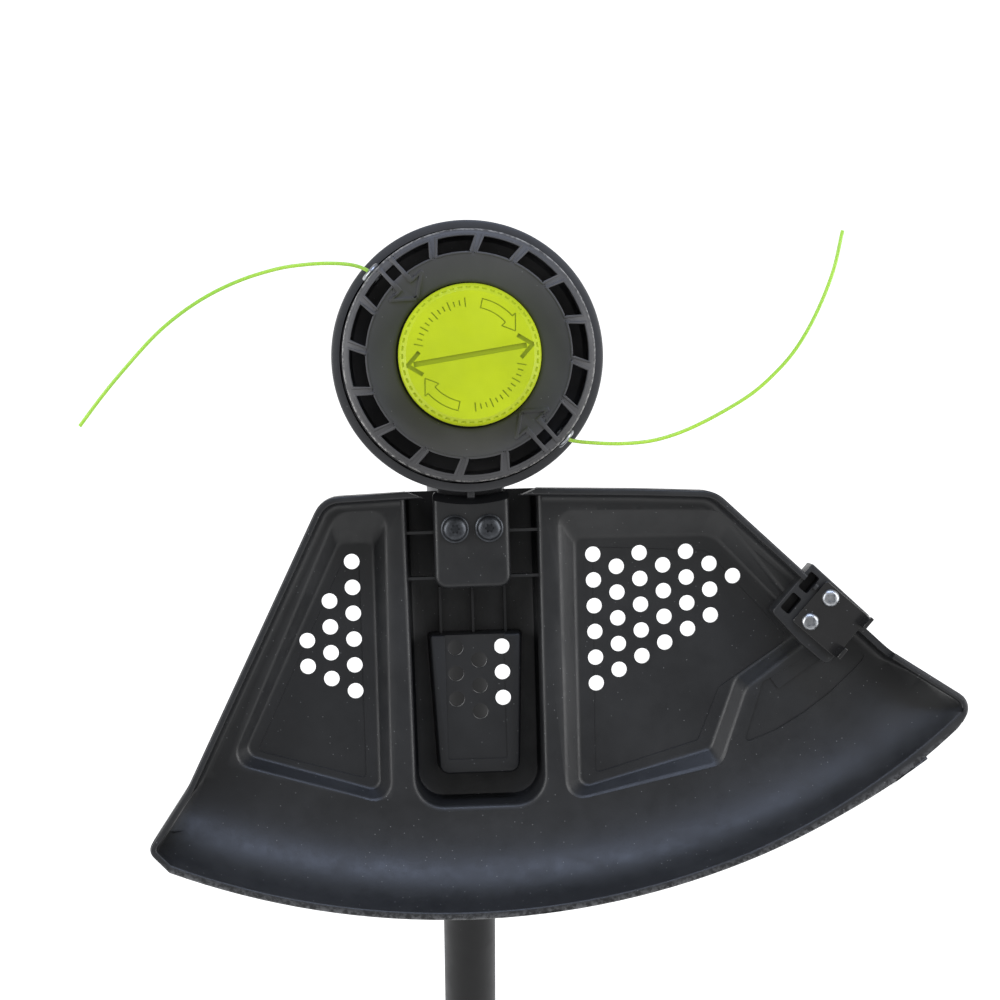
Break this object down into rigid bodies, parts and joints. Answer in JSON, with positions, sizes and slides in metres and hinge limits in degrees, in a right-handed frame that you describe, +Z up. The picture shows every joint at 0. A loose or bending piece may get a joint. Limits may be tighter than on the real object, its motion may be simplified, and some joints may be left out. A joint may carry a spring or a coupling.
{
  "type": "string trimmer",
  "caption": "Battery string trimmer with a motor in its cutting head, a bump-feed line spool, a fan-shaped guard with a line cutter, loop handle and rear grip.",
  "frame": {"origin": "on the shaft's axis, at the middle of the stretch that a rack's tube clip grips", "axes": "+Z up the shaft towards the cutting head, -Y towards the ground side that the cutting head and guard face, +X across, towards the guard's line cutter"},
  "size_m": [0.3699, 0.3111, 1.6816],
  "materials": {
    "guard_plastic": "moulded black polypropylene, semi-matt, scuffed at its edges",
    "head_plastic": "moulded dark grey nylon, fine texture, worn rim",
    "housing_plastic": "moulded charcoal nylon, fine texture",
    "green_plastic": "moulded yellow-green nylon, satin",
    "cutting_line": "extruded light green nylon line",
    "shaft_paint": "satin black powder coat on a drawn tube",
    "grip_rubber": "soft black over-moulded grip",
    "black_steel": "glossy black coated steel, silver where worn",
    "steel": "zinc-plated and ground steel",
    "copper": "enamelled copper winding wire",
    "laminations": "stacked electrical steel",
    "mount_metal": "machined aluminium",
    "magnet": "nickel-plated magnet ring",
    "board": "green solder-resist circuit board",
    "cell_wrap": "shrink-wrapped battery cells",
    "cable_sheath": "black cable sheath and switch body"
  },
  "bodies": {
    "frame": {"motor_housing": "housing_plastic", "motor_base_plate": "housing_plastic", "base_plate_screw_1": "steel", "base_plate_screw_2": "steel", "base_plate_screw_3": "steel", "motor_mount": "mount_metal", "stator_core": "laminations", "stator_windings": "copper", "front_bearing": "steel", "rear_bearing": "steel", "guard": "guard_plastic", "line_cutter_blade": "black_steel", "guard_screw_1": "black_steel", "guard_screw_2": "black_steel", "blade_screw_1": "steel", "blade_screw_2": "steel", "shaft_tube": "shaft_paint", "motor_cable": "cable_sheath", "strap_bracket": "housing_plastic", "rear_handle_left": "housing_plastic", "rear_handle_right": "housing_plastic", "handle_screw_1": "steel", "handle_screw_2": "steel", "handle_screw_3": "steel", "trigger_pin": "steel", "lock_off_pin": "steel", "trigger_switch": "cable_sheath", "controller_board": "board", "battery_terminals": "copper"},
    "cutting_head": {"head_cover": "head_plastic", "head_case": "head_plastic", "line_eyelet_1": "steel", "line_eyelet_2": "steel", "spindle_nut": "steel", "cutting_line_1": "cutting_line", "cutting_line_2": "cutting_line", "rotor_bell": "steel", "rotor_magnets": "magnet", "spindle": "steel"},
    "spool_sleeve": {"feed_sleeve": "head_plastic", "bump_spring": "steel"},
    "spool_and_knob": {"spool": "guard_plastic", "wound_line": "cutting_line", "bump_knob": "green_plastic"},
    "trigger": {"trigger": "green_plastic"},
    "lock_off_lever": {"lock_off_lever": "green_plastic"},
    "battery": {"battery_housing": "housing_plastic", "battery_cells": "cell_wrap"},
    "charge_button": {"charge_button": "green_plastic"},
    "release_button": {"release_button": "green_plastic"},
    "front_handle": {"front_handle_loop": "grip_rubber", "front_handle_clamp": "housing_plastic", "clamp_bolt_1": "steel", "clamp_bolt_2": "steel"},
    "clamp_knob": {"clamp_knob": "housing_plastic"},
    "strap_ring": {"strap_ring": "steel"}
  },
  "joints": [
    {"name": "head_spin", "type": "hinge", "parent": "frame", "child": "cutting_head", "pos_m": [0, -0.05079, 0.73556], "axis": [0, -0.8192, 0.5736], "continuous": true},
    {"name": "spool_turn", "type": "hinge", "parent": "cutting_head", "child": "spool_sleeve", "pos_m": [0, -0.05079, 0.73556], "axis": [0, -0.8192, 0.5736], "continuous": true},
    {"name": "bump_press", "type": "slide", "parent": "spool_sleeve", "child": "spool_and_knob", "axis": [0, -0.8192, 0.5736], "range_m": [-0.0045, 0], "stiffness_N_per_m": 1500, "springref_m": 0.004, "deforming": ["bump_spring"]},
    {"name": "trigger_pull", "type": "hinge", "parent": "frame", "child": "trigger", "pos_m": [0, -0.007, -0.562], "axis": [1, 0, 0], "range_deg": [0, 14], "stiffness_Nm_per_rad": 0.6, "springref_deg": -20.05},
    {"name": "lock_off_press", "type": "hinge", "parent": "frame", "child": "lock_off_lever", "pos_m": [0, 0.011, -0.64], "axis": [1, 0, 0], "range_deg": [0, 10], "stiffness_Nm_per_rad": 0.4, "springref_deg": -17.19},
    {"name": "battery_slide", "type": "slide", "parent": "frame", "child": "battery", "axis": [0, 0, -1], "range_m": [0, 0.075]},
    {"name": "release_button_press", "type": "slide", "parent": "frame", "child": "release_button", "axis": [0, -1, 0], "range_m": [0, 0.0018], "stiffness_N_per_m": 2500, "springref_m": -0.002},
    {"name": "charge_button_press", "type": "slide", "parent": "battery", "child": "charge_button", "axis": [0, 1, 0], "range_m": [0, 0.0012], "stiffness_N_per_m": 1000, "springref_m": -0.001},
    {"name": "front_handle_slide", "type": "slide", "parent": "frame", "child": "front_handle", "axis": [0, 0, 1], "range_m": [-0.08, 0.08]},
    {"name": "clamp_knob_turn", "type": "hinge", "parent": "front_handle", "child": "clamp_knob", "pos_m": [0.024, -0.029, -0.17], "axis": [0, 1, 0], "range_deg": [0, 720]},
    {"name": "strap_ring_swing", "type": "hinge", "parent": "frame", "child": "strap_ring", "pos_m": [0, 0.023, -0.455], "axis": [1, 0, 0], "range_deg": [-12, 150]}
  ]
}
